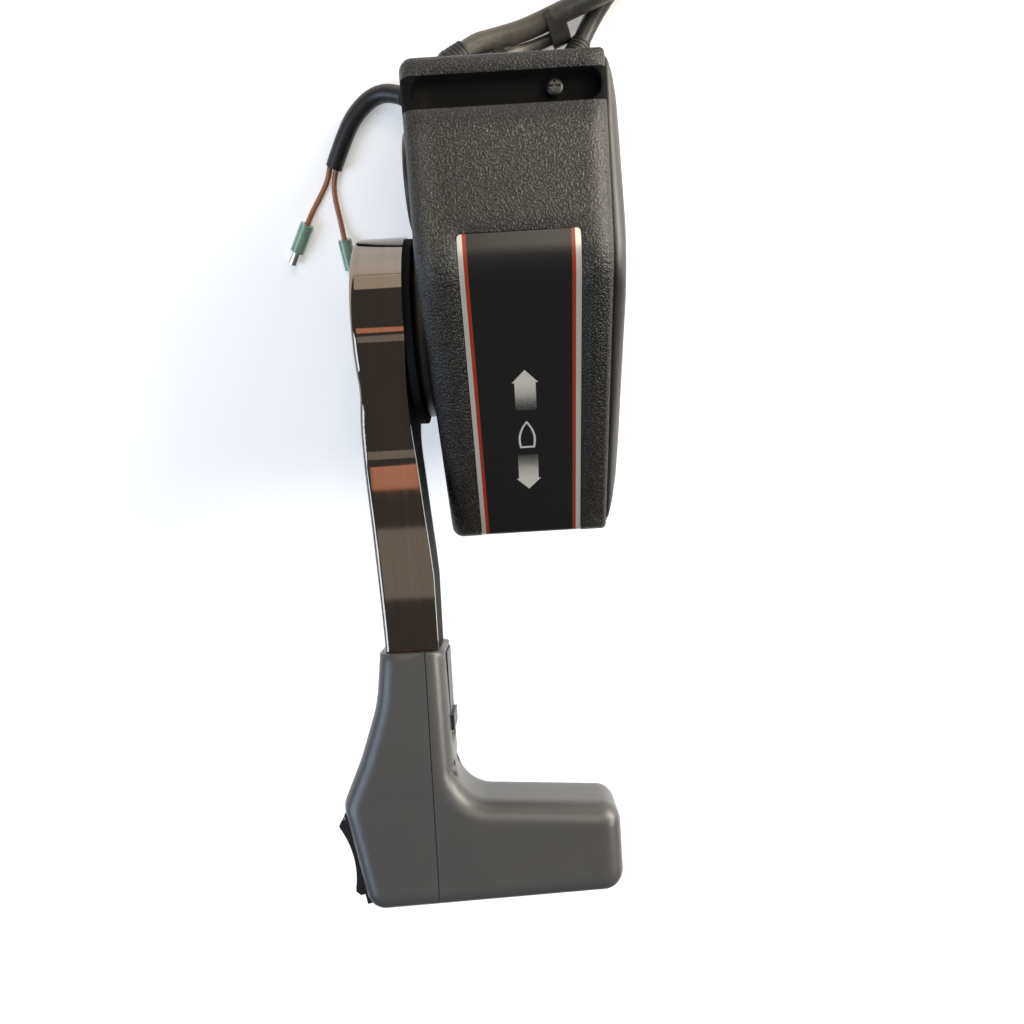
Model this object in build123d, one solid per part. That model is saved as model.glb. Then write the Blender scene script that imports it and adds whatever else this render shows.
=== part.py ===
from build123d import *
import math
import os

# Side-mount remote control for an outboard engine: a moulded box that bolts to the boat's side,
# with a shift-and-throttle lever on its port face.
# Frame: X forward, Y to port, Z up. The mounting face is the plane Y = 0, and the lever's shaft
# turns about the Y axis. The lever stands at its full-astern stop.

# ---------------------------------------------------------------- driving dimensions, mm
box_width = 66.0            # moulded case, starboard rim to port face
cover_depth = 5.0           # wall cover, mounting face to case rim
front_x = 95.7              # lip of the front edge
lip_z = 14.0
bend_x = 36.5               # where the top breaks into the front slope
bend_z = 44.6
aft_x = -78.8
aft_z = 32.7
bottom_z = -58.0
wall = 3.0
front_draft = 4.5           # how far the front wall leans back, lip to bottom
aft_draft = 4.0
port_flare = 0.02           # rise of the port face per mm towards the bow
bend_radius = 24.0
aft_radius = 3.5
aft_bottom_radius = 16.0
front_bottom_radius = 7.0
port_edge_radius = 4.5
rim_edge_radius = 2.0

lip_width = 5.8             # along the front slope
ledge_width = 10.4
ledge_depth = 4.0
ledge_side = 1.6
ledge_corner = 4.5
ledge_screw_along = 10.6
ledge_screw_y = 21.8
ledge_screw_head = 5.9
case_screw_radius = 1.45
aft_screw_z = 2.0
lug_depth = 7.0

fascia_width = 41.6
fascia_y = 36.5             # centre of the decorated panel
fascia_front_x = 45.3
fascia_thickness = 0.8
fascia_recess = 1.0
fascia_corner = 1.6
fascia_gap = 0.25

cover_wall = 3.0
cover_rim_height = 4.0
mount_spacing_x = 104.0
mount_spacing_z = 44.0
mount_x = 3.0
mount_z = -16.0
mount_hole_radius = 3.25

shaft_radius = 6.0
boss_radius = 33.5
boss_height = 4.6
bush_wall = 2.5
bush_flange = 2.0
running_gap = 0.05          # radial play of a shaft in its bush
plug_radius = 17.0
plug_x = 57.0
plug_z = 8.0
plug_height = 3.0
buzzer_x = -50.0
buzzer_z = -34.0
buzzer_radius = 12.0
buzzer_depth = 11.0
buzzer_pad = 1.5

chassis_thickness = 3.0
chassis_length = 84.0
chassis_height = 66.0
chassis_corner = 8.0
chassis_mid_z = -14.0
chassis_y = 9.0
gear_module = 1.5
gear_teeth = 18
sector_teeth = 30
gear_width = 8.0
gear_y = 22.0
backlash = 0.35
arm_angle = 25.0            # pivots lie this far below the shaft's level
pivot_radius = 4.0
arm_reach = 26.0
arm_thickness = 4.0

lever_rest = -60.0          # lever angle from upright, astern is negative
lever_travel = 145.0
lever_gap = 0.4             # fixed boss to turning hub
lever_plate = 2.8           # dark inner plate of the lever
lever_depth = 22.0          # whole thickness of the lever along Y
lever_hub_radius = 37.0
lever_neck_u = 50.0
lever_neck_half = 15.5
lever_end_u = 126.0
lever_end_half = 12.0
lever_hub_blend = 45.0      # radius where the blade leaves the hub
cover_shell = 2.2
core_radius = 15.0
core_height = 12.0          # from the back plate to the bolt's seat
web_half = 7.0
rail_gap = 0.6              # arm's side rails to the inside of the cover
rail_width = 2.6
lever_edge_radius = 2.2
tang_length = 40.0
tang_half = 8.0

cap_radius = 20.0
cap_height = 2.5
button_radius = 8.0
button_travel = 3.0
button_bore = 5.7           # clears the lever bolt's head when pressed
button_wall = 2.2

grip_half = 16.0            # half thickness of the grip
grip_round = 7.0
grip_fit = 0.15
rocker_half = 8.0
rocker_gap = 0.5
lock_half = 8.0
grip_screw_w = 8.5
grip_screw_u = 174.0
grip_screw_head = 2.9
grip_screw_radius = 1.5
grip_screw_length = 14.0
lock_travel = 5.0
lock_length = 31.0
lock_start_u = 128.0

parts = {}

# ---------------------------------------------------------------- values that follow
cover_y = cover_depth
port_y = cover_depth + box_width
boss_y = port_y + boss_height
lever_y = boss_y + lever_gap
lever_out_y = lever_y + lever_depth
slope = math.atan2(bend_z - lip_z, front_x - bend_x)


def side_plane(y):
    """Drawing plane of the box's side: local x is X, local y is Z, at the given Y."""
    return Plane(origin=(0, y, 0), x_dir=(1, 0, 0), z_dir=(0, -1, 0))


def side_prism(sketch, y_from, y_to):
    """A side view drawn on X and Z, carried along Y from y_from to y_to."""
    return extrude(side_plane(y_from) * sketch, amount=-(y_to - y_from))


def pin(radius, y_from, y_to, x=0.0, z=0.0):
    """A round bar along Y."""
    return side_prism(Pos(x, z) * Circle(radius), y_from, y_to)


def tube_y(outer, inner, y_from, y_to, x=0.0, z=0.0):
    """A bush or washer along Y."""
    return side_prism(Pos(x, z) * (Circle(outer) - Circle(inner)), y_from, y_to)


def inset_points(points, distance):
    """The corners of a convex outline, given clockwise, moved inwards by a distance."""
    lines = []
    count = len(points)
    for i in range(count):
        (x1, z1), (x2, z2) = points[i], points[(i + 1) % count]
        length = math.hypot(x2 - x1, z2 - z1)
        nx, nz = (z2 - z1) / length, -(x2 - x1) / length
        lines.append((nx, nz, nx * x1 + nz * z1 + distance))
    corners = []
    for i in range(count):
        a1, b1, c1 = lines[i - 1]
        a2, b2, c2 = lines[i]
        det = a1 * b2 - a2 * b1
        corners.append(((c1 * b2 - c2 * b1) / det, (a1 * c2 - a2 * c1) / det))
    return corners


# clockwise seen from starboard with X to the right
case_corners = [
    (front_x, lip_z),
    (front_x - front_draft, bottom_z),
    (aft_x + aft_draft, bottom_z),
    (aft_x, aft_z),
    (bend_x, bend_z),
]
case_radii = [2.0, front_bottom_radius, aft_bottom_radius, aft_radius, bend_radius]


def outline(points, radii):
    """A closed side view with one radius at each corner."""
    face = make_face(Polyline(*points, close=True))
    result = face
    for point, radius in zip(points, radii):
        corner = result.vertices().sort_by_distance((point[0], point[1], 0))[0]
        result = fillet(corner, radius)
    return result


def case_outline(distance=0.0):
    """The case's side view, moved inwards by a distance."""
    radii = [max(radius - distance, 0.8) for radius in case_radii]
    return outline(inset_points(case_corners, distance), radii)


def slope_plane(along, y):
    """A plane on the front slope: local x runs up the slope, local y to starboard."""
    x = front_x - along * math.cos(slope)
    z = lip_z + along * math.sin(slope)
    return Plane(origin=(x, y, z), x_dir=(-math.cos(slope), 0, math.sin(slope)),
                 z_dir=(math.sin(slope), 0, math.cos(slope)))


mid_y = cover_y + box_width / 2
buzzer_seat_y = port_y - wall - buzzer_pad


# ---------------------------------------------------------------- moulded case
def ledge_cut(extra=0.0):
    """The trough between the lip and the front slope, grown by extra on every side."""
    centre = lip_width + ledge_width / 2
    block = slope_plane(centre, mid_y) * Pos(0, 0, -ledge_depth - extra) * extrude(
        RectangleRounded(ledge_width + 2 * extra, box_width - 2 * ledge_side + 2 * extra,
                         ledge_corner), amount=ledge_depth + extra + 20)
    return block


def band_prism(depth_out, depth_in, y_from, y_to):
    """A skin that follows the case's side view between two depths below its surface."""
    skin = case_outline(depth_out) - case_outline(depth_in)
    return side_prism(skin, y_from, y_to)


def fascia_window(grow=0.0):
    """The plan view of the decorated panel as a tall block."""
    back_x = aft_x - 2
    length = fascia_front_x - back_x
    plan = Pos((fascia_front_x + back_x) / 2 - 5, fascia_y, 0) * RectangleRounded(
        length + 10 + 2 * grow, fascia_width + 2 * grow, fascia_corner + grow)
    return Pos(0, 0, aft_z - 6.0) * extrude(plan, amount=40)


def port_side(distance=0.0):
    """Everything to starboard of the port face, which opens out a little towards the bow."""
    reach = 150.0
    rise = port_flare * reach
    wedge = make_face(Polyline((-reach, port_y - rise - distance), (reach, port_y + rise - distance),
                               (reach, 0), (-reach, 0), close=True))
    return extrude(wedge, amount=reach, both=True)


def port_seat(radius, x=0.0, z=0.0):
    """The fill and the two cuts that give a round part a flat seat in the port face."""
    return (pin(radius, port_y - wall, port_y, x, z),
            pin(radius, port_y, port_y + wall, x, z)
            + pin(radius, port_y - 2 * wall, port_y - wall, x, z))


def case_shell():
    outer = side_prism(case_outline(), cover_y, port_y + wall) & port_side()
    port_edges = outer.faces().sort_by(Axis.Y)[-1].edges()
    outer = fillet(port_edges, port_edge_radius)
    rim_edges = outer.faces().sort_by(Axis.Y)[0].edges()
    outer = fillet(rim_edges, rim_edge_radius)
    inner = side_prism(case_outline(wall), cover_y - 1, port_y - wall) & port_side(wall)
    inner -= ledge_cut(wall)
    shell = outer - inner - ledge_cut()
    for fill, room in (port_seat(boss_radius), port_seat(plug_radius, plug_x, plug_z)):
        shell = shell + fill - room
    shell += pin(buzzer_radius, buzzer_seat_y, port_y - wall, buzzer_x, buzzer_z)
    shell -= band_prism(-6.0, fascia_recess, 0, port_y + 1) & fascia_window()
    shell -= pin(shaft_radius + running_gap + bush_wall, port_y - wall - 1, port_y + 1)
    shell -= pin(plug_radius - 4, port_y - wall - 1, port_y + 1, plug_x, plug_z)
    return shell


parts["case_shell"] = case_shell()


def fascia_plate():
    skin = band_prism(fascia_recess - fascia_thickness, fascia_recess, 0, port_y)
    return skin & fascia_window(-fascia_gap)


parts["fascia_plate"] = fascia_plate()


# the mounting face is rounder than the case's rim; corners in the order of case_corners
face_corners = [(82.0, 6.0), (80.0, -49.0), (-63.0, -49.0), (-67.0, 22.5), (34.0, 39.5)]
face_radii = [30.0, 14.0, 18.0, 32.0, 40.0]
rim_radii = [3.5, 4.0, 10.0, 4.0, 22.0]


def wall_cover():
    """The plate that bolts to the boat: a pillowed rim, a flat mounting face and a locating rib."""
    steps = [(0.0, 1.0), (0.8, 0.62), (2.2, 0.3), (3.6, 0.1), (cover_depth, 0.0)]
    rim = inset_points(case_corners, rim_edge_radius)
    sections = []
    for height, share in steps:
        corners = [(x1 + (x2 - x1) * share, z1 + (z2 - z1) * share)
                   for (x1, z1), (x2, z2) in zip(rim, face_corners)]
        radii = [r1 + (r2 - r1) * share for r1, r2 in zip(rim_radii, face_radii)]
        sections.append(side_plane(height) * outline(corners, radii))
    body = loft(sections, ruled=True)
    rib = case_outline(wall + 0.2) - case_outline(wall + 0.2 + cover_wall)
    body += side_prism(rib, cover_y - 0.5, cover_y + cover_rim_height) - ledge_cut(wall + 0.2)
    pocket = case_outline(wall + cover_wall + 14)
    body -= side_prism(pocket, cover_wall, cover_y + cover_rim_height)
    for x, z in mount_holes():
        boss = pin(mount_hole_radius + 3.5, cover_wall - 0.5, cover_y + 1, x, z)
        body += boss
        body -= pin(mount_hole_radius, -1, cover_y + 2, x, z)
    for x, z in chassis_points:
        body += pin(4.5, cover_wall - 0.5, chassis_y, x, z)
        body -= pin(1.6, cover_wall, chassis_y + 1, x, z)
    return body


def mount_holes():
    """Centres of the four holes that take the boat's bolts."""
    return [(mount_x + i * mount_spacing_x / 2, mount_z + j * mount_spacing_z / 2)
            for i in (-1, 1) for j in (-1, 1)]


chassis_points = [(-32.0, 12.0), (32.0, 12.0), (-32.0, -40.0), (32.0, -40.0)]
parts["wall_cover"] = wall_cover()


def pan_screw(head_radius, head_height, thread_radius, thread_length, slot=True):
    """A pan-head screw along +Z, with the seat of its head at the origin."""
    head = Cylinder(head_radius, head_height, align=(Align.CENTER, Align.CENTER, Align.MIN))
    head = fillet(head.faces().sort_by(Axis.Z)[-1].edges(), head_height * 0.55)
    if slot:
        cross = Box(head_radius * 1.3, 0.9, 1.2) + Box(0.9, head_radius * 1.3, 1.2)
        head -= Pos(0, 0, head_height) * cross
    shank = Cylinder(thread_radius, thread_length, align=(Align.CENTER, Align.CENTER, Align.MAX))
    return head + shank


ledge_plane = slope_plane(ledge_screw_along, ledge_screw_y).offset(-ledge_depth)
aft_screw_x = aft_x + aft_draft * (aft_z - aft_screw_z) / (aft_z - bottom_z)
aft_lean = math.atan2(aft_draft, aft_z - bottom_z)
aft_plane = Plane(origin=(aft_screw_x, ledge_screw_y, aft_screw_z), x_dir=(0, 1, 0),
                  z_dir=(-math.cos(aft_lean), 0, -math.sin(aft_lean)))


def screw_lug(seat):
    """A block of the wall cover that reaches in behind the case wall and takes a case screw."""
    reach = ledge_screw_y + 5 - cover_wall
    block = Box(9, reach, lug_depth) if seat is ledge_plane else Box(reach, 9, lug_depth)
    drop = -wall - 0.2 - lug_depth / 2
    back = cover_wall + reach / 2 - ledge_screw_y
    shift = Pos(0, -back, drop) if seat is ledge_plane else Pos(back, 0, drop)
    return seat * shift * block


for seat in (ledge_plane, aft_plane):
    hole = seat * Cylinder(case_screw_radius + 0.05, 40)
    parts["case_shell"] -= hole
    parts["wall_cover"] = parts["wall_cover"] + screw_lug(seat) - hole
parts["ledge_screw"] = ledge_plane * pan_screw(ledge_screw_head / 2, 2.2, case_screw_radius, 9.0)
parts["aft_screw"] = aft_plane * pan_screw(ledge_screw_head / 2, 2.2, case_screw_radius, 9.0)


# ---------------------------------------------------------------- pivot of the lever on the case
def hub_boss():
    disc = pin(boss_radius, port_y, boss_y)
    disc = fillet(disc.faces().sort_by(Axis.Y)[-1].edges(), 1.6)
    return disc - pin(shaft_radius + running_gap + bush_wall, port_y - 1, boss_y + 1)


parts["hub_boss"] = hub_boss()
bush_outer = shaft_radius + running_gap + bush_wall
parts["hub_bush"] = (
    tube_y(bush_outer, shaft_radius + running_gap, port_y - wall, boss_y)
    + tube_y(bush_outer + 3, shaft_radius + running_gap, port_y - wall - bush_flange, port_y - wall))


def switch_hole_plug():
    cap = pin(plug_radius, port_y, port_y + plug_height, plug_x, plug_z)
    cap = fillet(cap.faces().sort_by(Axis.Y)[-1].edges(), 1.2)
    skirt = tube_y(plug_radius - 4, plug_radius - 6, port_y - wall - 1.5, port_y, plug_x, plug_z)
    return cap + skirt


parts["switch_hole_plug"] = switch_hole_plug()


# ---------------------------------------------------------------- chassis and gears
def pivot_centre(side):
    """Centre of the throttle arm's pivot (side 1, forward) or the shift arm's (side -1)."""
    spacing = gear_module * (gear_teeth + sector_teeth) / 2
    angle = math.radians(arm_angle)
    return side * spacing * math.cos(angle), -spacing * math.sin(angle)


def chassis_plate():
    outline_face = RectangleRounded(chassis_length, chassis_height, chassis_corner)
    plate = side_prism(Pos(0, chassis_mid_z) * outline_face,
                       chassis_y, chassis_y + chassis_thickness)
    plate -= pin(bush_outer, chassis_y - 1, chassis_y + chassis_thickness + 1)
    for x, z in chassis_points:
        plate -= pin(1.8, chassis_y - 1, chassis_y + chassis_thickness + 1, x, z)
    for side in (-1, 1):
        x, z = pivot_centre(side)
        plate -= pin(pivot_radius, chassis_y - 1, chassis_y + chassis_thickness + 1, x, z)
    return plate


parts["chassis_plate"] = chassis_plate()
plate_y = chassis_y + chassis_thickness
parts["chassis_bush"] = (
    tube_y(bush_outer, shaft_radius + running_gap, chassis_y, plate_y)
    + tube_y(bush_outer + 3, shaft_radius + running_gap, plate_y, plate_y + bush_flange))

screws = []
for x, z in chassis_points:
    screw = side_plane(plate_y) * Rotation(180, 0, 0) * pan_screw(3.0, 2.0, 1.55, 7.0)
    screws.append(Pos(x, 0, z) * screw)
parts["chassis_screws"] = Compound(children=screws)


def gear_sketch(teeth, kept=None):
    """An involute spur gear, or only the teeth within kept places of the +X direction."""
    pitch_radius = gear_module * teeth / 2
    base_radius = pitch_radius * math.cos(math.radians(20))
    tip_radius = pitch_radius + gear_module
    root_radius = pitch_radius - 1.25 * gear_module
    start = max(base_radius, root_radius)

    def half_angle(radius):
        roll = math.sqrt(max((radius / base_radius) ** 2 - 1, 0))
        pitch_roll = math.tan(math.radians(20))
        involute = roll - math.atan(roll)
        pitch_involute = pitch_roll - math.radians(20)
        thickness = math.pi / (2 * teeth) - backlash / (2 * pitch_radius)
        return thickness + pitch_involute - involute

    radii = [start + (tip_radius - start) * i / 4 for i in range(5)]
    flank = [(r * math.cos(half_angle(r)), r * math.sin(half_angle(r))) for r in radii]
    foot = (root_radius * 0.97 * math.cos(half_angle(start)),
            root_radius * 0.97 * math.sin(half_angle(start)))
    upper = [foot] + flank
    lower = [(x, -y) for x, y in reversed(upper)]
    tooth = make_face(Polyline(*(upper + lower), close=True))
    sketch = Circle(root_radius)
    places = range(teeth) if kept is None else kept
    for i in places:
        sketch += Rotation(0, 0, 360.0 * i / teeth) * tooth
    return sketch


mesh_angle_front = -arm_angle


def main_gear():
    half_step = 180.0 / gear_teeth
    turn = mesh_angle_front + half_step
    gear = side_prism(Rotation(0, 0, turn) * gear_sketch(gear_teeth), gear_y, gear_y + gear_width)
    return gear - pin(shaft_radius, gear_y - 1, gear_y + gear_width + 1)


parts["main_gear"] = main_gear()


def output_arm(side):
    """A toothed sector with an arm for a control cable, on its own pivot pin."""
    x, z = pivot_centre(side)
    towards = math.degrees(math.atan2(-z, -x))
    # the sector turns by this much as the lever swings, against the lever
    swing = lever_travel * gear_teeth / sector_teeth
    step = 360.0 / sector_teeth
    # teeth from the one in mesh back to the one that meets the gear at full ahead
    kept = range(-int(swing / step) - 2, 3)
    toothed = gear_sketch(sector_teeth, kept)
    root = gear_module * (sector_teeth / 2 - 1.25)
    wedge_mid = (kept[0] + kept[-1]) / 2 * step
    wedge_half = (kept[-1] - kept[0]) / 2 * step + step / 2
    rim = [(0, 0)]
    for i in range(9):
        a = math.radians(wedge_mid - wedge_half + 2 * wedge_half * i / 8)
        rim.append((2 * root * math.cos(a), 2 * root * math.sin(a)))
    keep_zone = make_face(Polyline(*rim, close=True)) + Circle(pivot_radius + 4)
    sector = toothed & keep_zone
    # the gear has a gap at the forward mesh and a tooth at the after one
    phase = 0.0 if side > 0 else step / 2
    body = Pos(x, z) * Rotation(0, 0, towards + phase) * sector
    solid = side_prism(body, gear_y + 1, gear_y + gear_width - 1)
    rest_angle = -75.0 if side > 0 else 190.0
    a = math.radians(rest_angle)
    tip_x, tip_z = x + arm_reach * math.cos(a), z + arm_reach * math.sin(a)
    arm = Pos(x + arm_reach / 2 * math.cos(a), z + arm_reach / 2 * math.sin(a)) * Rotation(
        0, 0, rest_angle) * Rectangle(arm_reach, 9)
    arm += Pos(tip_x, tip_z) * Circle(5.5)
    arm += Pos(x, z) * Circle(pivot_radius + 4)
    arm_y = gear_y + gear_width - 1
    solid += side_prism(arm, arm_y - 0.2, arm_y + arm_thickness)
    solid -= pin(pivot_radius + running_gap, gear_y - 1, arm_y + arm_thickness + 1, x, z)
    solid -= pin(2.5, gear_y, arm_y + arm_thickness + 1, tip_x, tip_z)
    return solid


parts["throttle_arm"] = output_arm(1)
parts["shift_arm"] = output_arm(-1)
arm_top = gear_y + gear_width - 1 + arm_thickness


def pivot_pin(side):
    x, z = pivot_centre(side)
    body = pin(pivot_radius, chassis_y, arm_top + 3.0, x, z)
    body += pin(pivot_radius + 3, plate_y, gear_y + 0.6, x, z)
    groove = tube_y(pivot_radius + 1, pivot_radius - 0.8, arm_top + 0.8, arm_top + 1.9, x, z)
    return body - groove


def pivot_clip(side):
    x, z = pivot_centre(side)
    ring = tube_y(pivot_radius + 2.5, pivot_radius - 0.7, arm_top + 0.9, arm_top + 1.8, x, z)
    slot = Pos(x, arm_top + 1.3, z - 5) * Box(5, 2, 8)
    return ring - slot


parts["throttle_pivot_pin"] = pivot_pin(1)
parts["shift_pivot_pin"] = pivot_pin(-1)
parts["pivot_clips"] = Compound(children=[pivot_clip(1), pivot_clip(-1)])


# ---------------------------------------------------------------- lever and its shaft
def in_lever(shape):
    """Turn a piece drawn with the lever upright to where the lever stands."""
    return Rotation(0, lever_rest, 0) * shape


def lever_outline(distance=0.0, end_u=lever_end_u):
    """The lever's broad side: a round hub that runs into a slim tapering blade."""
    hub = Circle(lever_hub_radius - distance)
    start_u = lever_hub_radius * 0.55
    taper = (lever_end_half - lever_neck_half) / (lever_end_u - lever_neck_u)
    start_half = lever_neck_half + (start_u - lever_neck_u) * taper - distance
    end_half = lever_neck_half + (end_u - lever_neck_u) * taper - distance
    blade = make_face(Polyline(
        (-start_half, start_u), (start_half, start_u),
        (end_half, end_u), (-end_half, end_u), close=True))
    shape = hub + blade
    corners = [v for v in shape.vertices() if start_u - 3 < v.Y < lever_neck_u
               and abs(v.X) > lever_end_half - distance]
    return fillet(corners, lever_hub_blend)


plate_end = lever_y + lever_plate

# the blade's two faces in the lever's edge view, (distance from the shaft, Y): it leaves the
# hub a little outboard, then leans towards the boat and thickens to the grip
hub_flat_inner = 5.0
hub_flat_outer = 21.0
blade_inner = [(u, plate_end + rise) for u, rise in (
    (hub_flat_inner, 0), (28, 1.7), (42, 1.8), (54, 0.8), (70, -0.5), (88, -2.1),
    (106, -3.4), (126, -4.4), (136, -4.6))]
blade_outer = [(u, lever_out_y + rise) for u, rise in (
    (hub_flat_outer, 0), (34, 1.6), (46, 2.3), (58, 2.0), (72, 1.2), (88, 0.4),
    (104, -0.3), (126, -1.0), (136, -1.0))]
edge_plane = Plane(origin=(0, 0, 0), x_dir=(0, 0, 1), z_dir=(-1, 0, 0))


def blade_slab(low, low_shift, high, high_shift):
    """All that lies between two curves of the lever's edge view, each moved along Y."""
    curves = []
    for points, shift in ((low, low_shift), (high, high_shift)):
        moved = [(u, y + shift) for u, y in points]
        start = (-lever_hub_radius - 3, moved[0][1])
        curves += [Line(start, moved[0]), Spline(*moved, tangents=((1, 0), (1, 0)))]
    ends = [Line(curves[0] @ 0, curves[2] @ 0), Line(curves[1] @ 1, curves[3] @ 1)]
    return extrude(edge_plane * make_face(curves + ends), amount=60, both=True)


def main_shaft():
    body = pin(shaft_radius, chassis_y - 1.0, plate_end + 6.0)
    collar_y = plate_y + bush_flange + 0.3
    body += pin(shaft_radius + 3.5, collar_y, gear_y)
    square = Pos(0, plate_end + 9.0, 0) * Box(8, 6, 8)
    body += square
    return body - pin(2.6, plate_end - 8.0, plate_end + 13.0)


def lever_arm():
    """Dark inner arm: hub disc, back plate inside the cover, web, two rails and the tang."""
    disc = pin(lever_hub_radius - 0.8, lever_y, plate_end)
    plate = side_prism(lever_outline(cover_shell + 0.25), lever_y, lever_out_y)
    body = disc + (plate & blade_slab(blade_inner, 0, blade_inner, lever_plate))
    body += pin(core_radius, plate_end - 0.2, plate_end + core_height)
    web_start = core_radius - 2
    web = Pos(0, (web_start + lever_end_u) / 2) * Rectangle(2 * web_half, lever_end_u - web_start)
    low = lever_plate - 0.2
    body += side_prism(web, lever_y, lever_out_y) & blade_slab(
        blade_inner, low, blade_inner, core_height)
    rails = lever_outline(cover_shell + rail_gap) - lever_outline(cover_shell + rail_gap + rail_width)
    rails &= Pos(0, (lever_hub_radius + lever_end_u) / 2) * Rectangle(
        3 * lever_neck_half, lever_end_u - lever_hub_radius - 3)
    body += side_prism(rails, lever_y, lever_out_y + 3) & blade_slab(
        blade_inner, low, blade_outer, -cover_shell - rail_gap)
    tang = Pos(0, lever_end_u + tang_length / 2) * Rectangle(2 * tang_half, tang_length + 4)
    body += side_prism(tang, plate_end - 0.2, plate_end + core_height)
    body -= pin(shaft_radius, lever_y - 1, plate_end + 6.0)
    body -= Pos(0, plate_end + 9.0, 0) * Box(8, 6.02, 8)
    return in_lever(body)


def lever_cover():
    """Chromed trough over the arm, open towards the boat."""
    solid = side_prism(lever_outline(), lever_y, lever_out_y + 3)
    shell = solid & blade_slab(blade_inner, 0, blade_outer, 0)
    rim = [e for e in shell.edges() if e.center().Y > lever_out_y - 2.5
           and min(abs(e.center().Z - u) for u in (hub_flat_outer, lever_end_u)) > 0.1]
    shell = fillet(rim, lever_edge_radius)
    shell -= side_prism(lever_outline(cover_shell, lever_end_u + 8), lever_y, lever_out_y + 3) & (
        blade_slab(blade_inner, -3.0, blade_outer, -cover_shell))
    shell -= pin(cap_radius - 3.0, lever_out_y - 5, lever_out_y + 1)
    return in_lever(shell)


parts["main_shaft"] = in_lever(main_shaft())
parts["lever_arm"] = lever_arm()
parts["lever_cover"] = lever_cover()
bolt_seat = plate_end + core_height
parts["lever_washer"] = tube_y(9.0, 2.7, bolt_seat, bolt_seat + 1.2)
lever_bolt = side_plane(bolt_seat + 1.2) * Rotation(180, 0, 0) * (
    extrude(RegularPolygon(4.6, 6), amount=3.4)
    + Cylinder(2.55, 16, align=(Align.CENTER, Align.CENTER, Align.MAX)))
parts["lever_bolt"] = lever_bolt


def hub_cap():
    rim = pin(cap_radius, lever_out_y, lever_out_y + cap_height)
    rim = fillet(rim.faces().sort_by(Axis.Y)[-1].edges(), 1.2)
    skirt = pin(cap_radius - 3.1, lever_out_y - 3.0, lever_out_y)
    body = rim + skirt
    body -= pin(button_radius + 0.3, lever_out_y - 4, lever_out_y + cap_height + 1)
    return body


def throttle_button():
    button_top = lever_out_y + cap_height + button_travel - 0.5
    head = pin(button_radius, lever_out_y - 2.2, button_top)
    head = fillet(head.faces().sort_by(Axis.Y)[-1].edges(), 1.5)
    return head - pin(button_bore, lever_out_y - 3, button_top - button_wall)


parts["hub_cap"] = hub_cap()
parts["throttle_button"] = throttle_button()


# ---------------------------------------------------------------- grip, drawn with the lever upright
grip_plane = Plane(origin=(0, 0, 0), x_dir=(0, 1, 0), z_dir=(1, 0, 0))


def fitted_outline(points, radii):
    """A closed outline with a radius at each corner; a zero leaves the corner sharp."""
    result = make_face(Polyline(*points, close=True))
    for point, radius in zip(points, radii):
        if radius > 0:
            corner = result.vertices().sort_by_distance((point[0], point[1], 0))[0]
            result = fillet(corner, radius)
    return result


grip_split_y = lever_y + 5.0
grip_points = [(lever_y + across, u) for across, u in (
    (-2.4, lever_end_u + 0.3), (-3.4, 186.0), (-67.4, 190.7), (-67.4, 224.4), (32.9, 227.2),
    (41.2, 185.2), (33.0, 167.0), (25.6, 146.0), (23.3, lever_end_u + 0.3))]
grip_radii = [0, 15.0, 7.6, 8.0, 8.0, 9.0, 60.0, 60.0, 0]


def whole_grip():
    face = fitted_outline(grip_points, grip_radii)
    solid = extrude(grip_plane * face, amount=grip_half, both=True)
    rims = solid.faces().sort_by(Axis.X)
    long_edges = [e for f in (rims[0], rims[-1]) for e in f.edges()
                  if e.center().Z > lever_end_u + 1]
    return fillet(long_edges, grip_round)


face_foot, face_end = grip_points[5], grip_points[4]
face_angle = math.atan2(face_end[1] - face_foot[1], face_end[0] - face_foot[0])
switch_u = 207.0
switch_y = face_foot[0] + (switch_u - face_foot[1]) / math.tan(face_angle)
switch_plane = Plane(origin=(0, switch_y, switch_u),
                     x_dir=(0, math.cos(face_angle), math.sin(face_angle)), z_dir=(-1, 0, 0))
rocker_pivot_depth = 5.0
bezel_half_length = 18.4
bezel_half_width = 10.4
opening_half_length = 16.9
switch_depth = 12.0


def switch_box(half_length, half_width, low, high):
    """A block under the switch face, between two heights above that face."""
    sketch = Pos(0, (low + high) / 2) * Rectangle(2 * half_length, high - low)
    return extrude(switch_plane * sketch, amount=half_width, both=True)


def switch_bezel():
    frame_block = switch_box(bezel_half_length, bezel_half_width, -switch_depth, 0.7)
    frame_block -= switch_box(opening_half_length, rocker_half + rocker_gap, 1.4 - switch_depth, 2.0)
    return frame_block


def rocker():
    points = [(-15.4, -6.0), (15.4, -6.0), (15.4, 3.2), (13.6, 4.7), (12.4, 4.5)]
    line = Polyline(*points)
    dip = ThreePointArc((12.4, 4.5), (0, 2.2), (-12.4, 4.5))
    rest = Polyline((-12.4, 4.5), (-13.6, 4.7), (-15.4, 3.2), (-15.4, -6.0))
    face = make_face(line + dip + rest)
    body = extrude(switch_plane * face, amount=rocker_half, both=True)
    hole = switch_plane * Pos(0, -rocker_pivot_depth) * Cylinder(1.0 + running_gap, 40)
    return body - hole


rocker_pin = switch_plane * Pos(0, -rocker_pivot_depth) * Cylinder(1.0, 2 * bezel_half_width - 0.6)
bezel_shape = switch_bezel() - (switch_plane * Pos(0, -rocker_pivot_depth)
                                * Cylinder(1.0, 2 * bezel_half_width + 1))
parts["switch_bezel"] = in_lever(bezel_shape)
parts["rocker_pin"] = in_lever(rocker_pin)
parts["trim_rocker"] = in_lever(rocker())

lock_y = lever_y - 3.0
grip_screw_seat_y = lever_y + 0.5
lock_thickness = 4.0


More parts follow.
